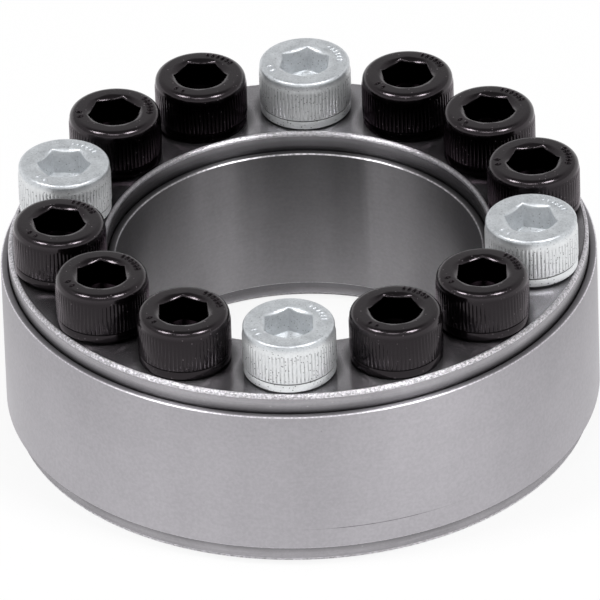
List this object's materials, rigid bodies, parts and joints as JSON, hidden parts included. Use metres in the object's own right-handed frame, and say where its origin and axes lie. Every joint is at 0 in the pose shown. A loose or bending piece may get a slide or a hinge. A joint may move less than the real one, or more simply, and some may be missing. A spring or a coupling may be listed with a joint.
{
  "type": "keyless locking assembly",
  "caption": "Keyless locking assembly for a shaft and hub: slit tapered rings between thrust rings, drawn together by a circle of socket head screws.",
  "frame": {"origin": "centre of the rear face of the rear thrust ring, on which the assembly stands", "axes": "+Z along the shaft axis, from the rear thrust ring towards the screw heads; +Y points at the first marker screw"},
  "size_m": [0.065, 0.065, 0.0274],
  "materials": {
    "turned_steel": "fine turned, lightly oiled",
    "inner_steel": "fine turned bore, lightly oiled",
    "thrust_steel": "turned, dark and lightly oiled",
    "black_screw": "black oxide, semi-gloss",
    "zinc_screw": "zinc plated, satin"
  },
  "bodies": {
    "rear_thrust_ring": {"rear_thrust_ring": "thrust_steel"},
    "front_thrust_ring": {"front_thrust_ring": "thrust_steel"},
    "outer_ring": {"outer_ring": "turned_steel"},
    "inner_ring": {"inner_ring": "inner_steel"},
    "marker_screw_1": {"marker_screw_1": "zinc_screw"},
    "clamp_screw_1": {"clamp_screw_1": "black_screw"},
    "clamp_screw_2": {"clamp_screw_2": "black_screw"},
    "clamp_screw_3": {"clamp_screw_3": "black_screw"},
    "marker_screw_2": {"marker_screw_2": "zinc_screw"},
    "clamp_screw_4": {"clamp_screw_4": "black_screw"},
    "clamp_screw_5": {"clamp_screw_5": "black_screw"},
    "marker_screw_3": {"marker_screw_3": "zinc_screw"},
    "clamp_screw_6": {"clamp_screw_6": "black_screw"},
    "clamp_screw_7": {"clamp_screw_7": "black_screw"},
    "clamp_screw_8": {"clamp_screw_8": "black_screw"},
    "marker_screw_4": {"marker_screw_4": "zinc_screw"},
    "clamp_screw_9": {"clamp_screw_9": "black_screw"},
    "clamp_screw_10": {"clamp_screw_10": "black_screw"}
  },
  "joints": [
    {"name": "front_ring_travel", "type": "slide", "parent": "rear_thrust_ring", "child": "front_thrust_ring", "axis": [0, 0, 1], "range_m": [-0.0014, 0.003]},
    {"name": "outer_ring_travel", "type": "slide", "parent": "rear_thrust_ring", "child": "outer_ring", "axis": [0, 0, 1], "range_m": [-0.0007, 0.0015]},
    {"name": "inner_ring_travel", "type": "slide", "parent": "rear_thrust_ring", "child": "inner_ring", "axis": [0, 0, 1], "range_m": [-0.0007, 0.0015]},
    {"name": "marker_screw_1_turn", "type": "hinge", "parent": "front_thrust_ring", "child": "marker_screw_1", "pos_m": [0, 0.02625, 0.0214], "axis": [0, 0, 1], "range_deg": [-504.01, 1080.01]},
    {"name": "clamp_screw_1_turn", "type": "hinge", "parent": "front_thrust_ring", "child": "clamp_screw_1", "pos_m": [0.01139, 0.02365, 0.0214], "axis": [0, 0, 1], "range_deg": [-504.01, 1080.01]},
    {"name": "clamp_screw_2_turn", "type": "hinge", "parent": "front_thrust_ring", "child": "clamp_screw_2", "pos_m": [0.02052, 0.01637, 0.0214], "axis": [0, 0, 1], "range_deg": [-504.01, 1080.01]},
    {"name": "clamp_screw_3_turn", "type": "hinge", "parent": "front_thrust_ring", "child": "clamp_screw_3", "pos_m": [0.02559, 0.00584, 0.0214], "axis": [0, 0, 1], "range_deg": [-504.01, 1080.01]},
    {"name": "marker_screw_2_turn", "type": "hinge", "parent": "front_thrust_ring", "child": "marker_screw_2", "pos_m": [0.02559, -0.00584, 0.0214], "axis": [0, 0, 1], "range_deg": [-504.01, 1080.01]},
    {"name": "clamp_screw_4_turn", "type": "hinge", "parent": "front_thrust_ring", "child": "clamp_screw_4", "pos_m": [0.02052, -0.01637, 0.0214], "axis": [0, 0, 1], "range_deg": [-504.01, 1080.01]},
    {"name": "clamp_screw_5_turn", "type": "hinge", "parent": "front_thrust_ring", "child": "clamp_screw_5", "pos_m": [0.01139, -0.02365, 0.0214], "axis": [0, 0, 1], "range_deg": [-504.01, 1080.01]},
    {"name": "marker_screw_3_turn", "type": "hinge", "parent": "front_thrust_ring", "child": "marker_screw_3", "pos_m": [0, -0.02625, 0.0214], "axis": [0, 0, 1], "range_deg": [-504.01, 1080.01]},
    {"name": "clamp_screw_6_turn", "type": "hinge", "parent": "front_thrust_ring", "child": "clamp_screw_6", "pos_m": [-0.01139, -0.02365, 0.0214], "axis": [0, 0, 1], "range_deg": [-504.01, 1080.01]},
    {"name": "clamp_screw_7_turn", "type": "hinge", "parent": "front_thrust_ring", "child": "clamp_screw_7", "pos_m": [-0.02052, -0.01637, 0.0214], "axis": [0, 0, 1], "range_deg": [-504.01, 1080.01]},
    {"name": "clamp_screw_8_turn", "type": "hinge", "parent": "front_thrust_ring", "child": "clamp_screw_8", "pos_m": [-0.02559, -0.00584, 0.0214], "axis": [0, 0, 1], "range_deg": [-504.01, 1080.01]},
    {"name": "marker_screw_4_turn", "type": "hinge", "parent": "front_thrust_ring", "child": "marker_screw_4", "pos_m": [-0.02559, 0.00584, 0.0214], "axis": [0, 0, 1], "range_deg": [-504.01, 1080.01]},
    {"name": "clamp_screw_9_turn", "type": "hinge", "parent": "front_thrust_ring", "child": "clamp_screw_9", "pos_m": [-0.02052, 0.01637, 0.0214], "axis": [0, 0, 1], "range_deg": [-504.01, 1080.01]},
    {"name": "clamp_screw_10_turn", "type": "hinge", "parent": "front_thrust_ring", "child": "clamp_screw_10", "pos_m": [-0.01139, 0.02365, 0.0214], "axis": [0, 0, 1], "range_deg": [-504.01, 1080.01]}
  ],
  "couplings": [
    {"joint": "outer_ring_travel", "follows": "front_ring_travel", "ratio": 0.5},
    {"joint": "inner_ring_travel", "follows": "front_ring_travel", "ratio": 0.5},
    {"joint": "marker_screw_1_turn", "follows": "front_ring_travel", "rad_per_m": 6283.2},
    {"joint": "clamp_screw_1_turn", "follows": "front_ring_travel", "rad_per_m": 6283.2},
    {"joint": "clamp_screw_2_turn", "follows": "front_ring_travel", "rad_per_m": 6283.2},
    {"joint": "clamp_screw_3_turn", "follows": "front_ring_travel", "rad_per_m": 6283.2},
    {"joint": "marker_screw_2_turn", "follows": "front_ring_travel", "rad_per_m": 6283.2},
    {"joint": "clamp_screw_4_turn", "follows": "front_ring_travel", "rad_per_m": 6283.2},
    {"joint": "clamp_screw_5_turn", "follows": "front_ring_travel", "rad_per_m": 6283.2},
    {"joint": "marker_screw_3_turn", "follows": "front_ring_travel", "rad_per_m": 6283.2},
    {"joint": "clamp_screw_6_turn", "follows": "front_ring_travel", "rad_per_m": 6283.2},
    {"joint": "clamp_screw_7_turn", "follows": "front_ring_travel", "rad_per_m": 6283.2},
    {"joint": "clamp_screw_8_turn", "follows": "front_ring_travel", "rad_per_m": 6283.2},
    {"joint": "marker_screw_4_turn", "follows": "front_ring_travel", "rad_per_m": 6283.2},
    {"joint": "clamp_screw_9_turn", "follows": "front_ring_travel", "rad_per_m": 6283.2},
    {"joint": "clamp_screw_10_turn", "follows": "front_ring_travel", "rad_per_m": 6283.2}
  ]
}
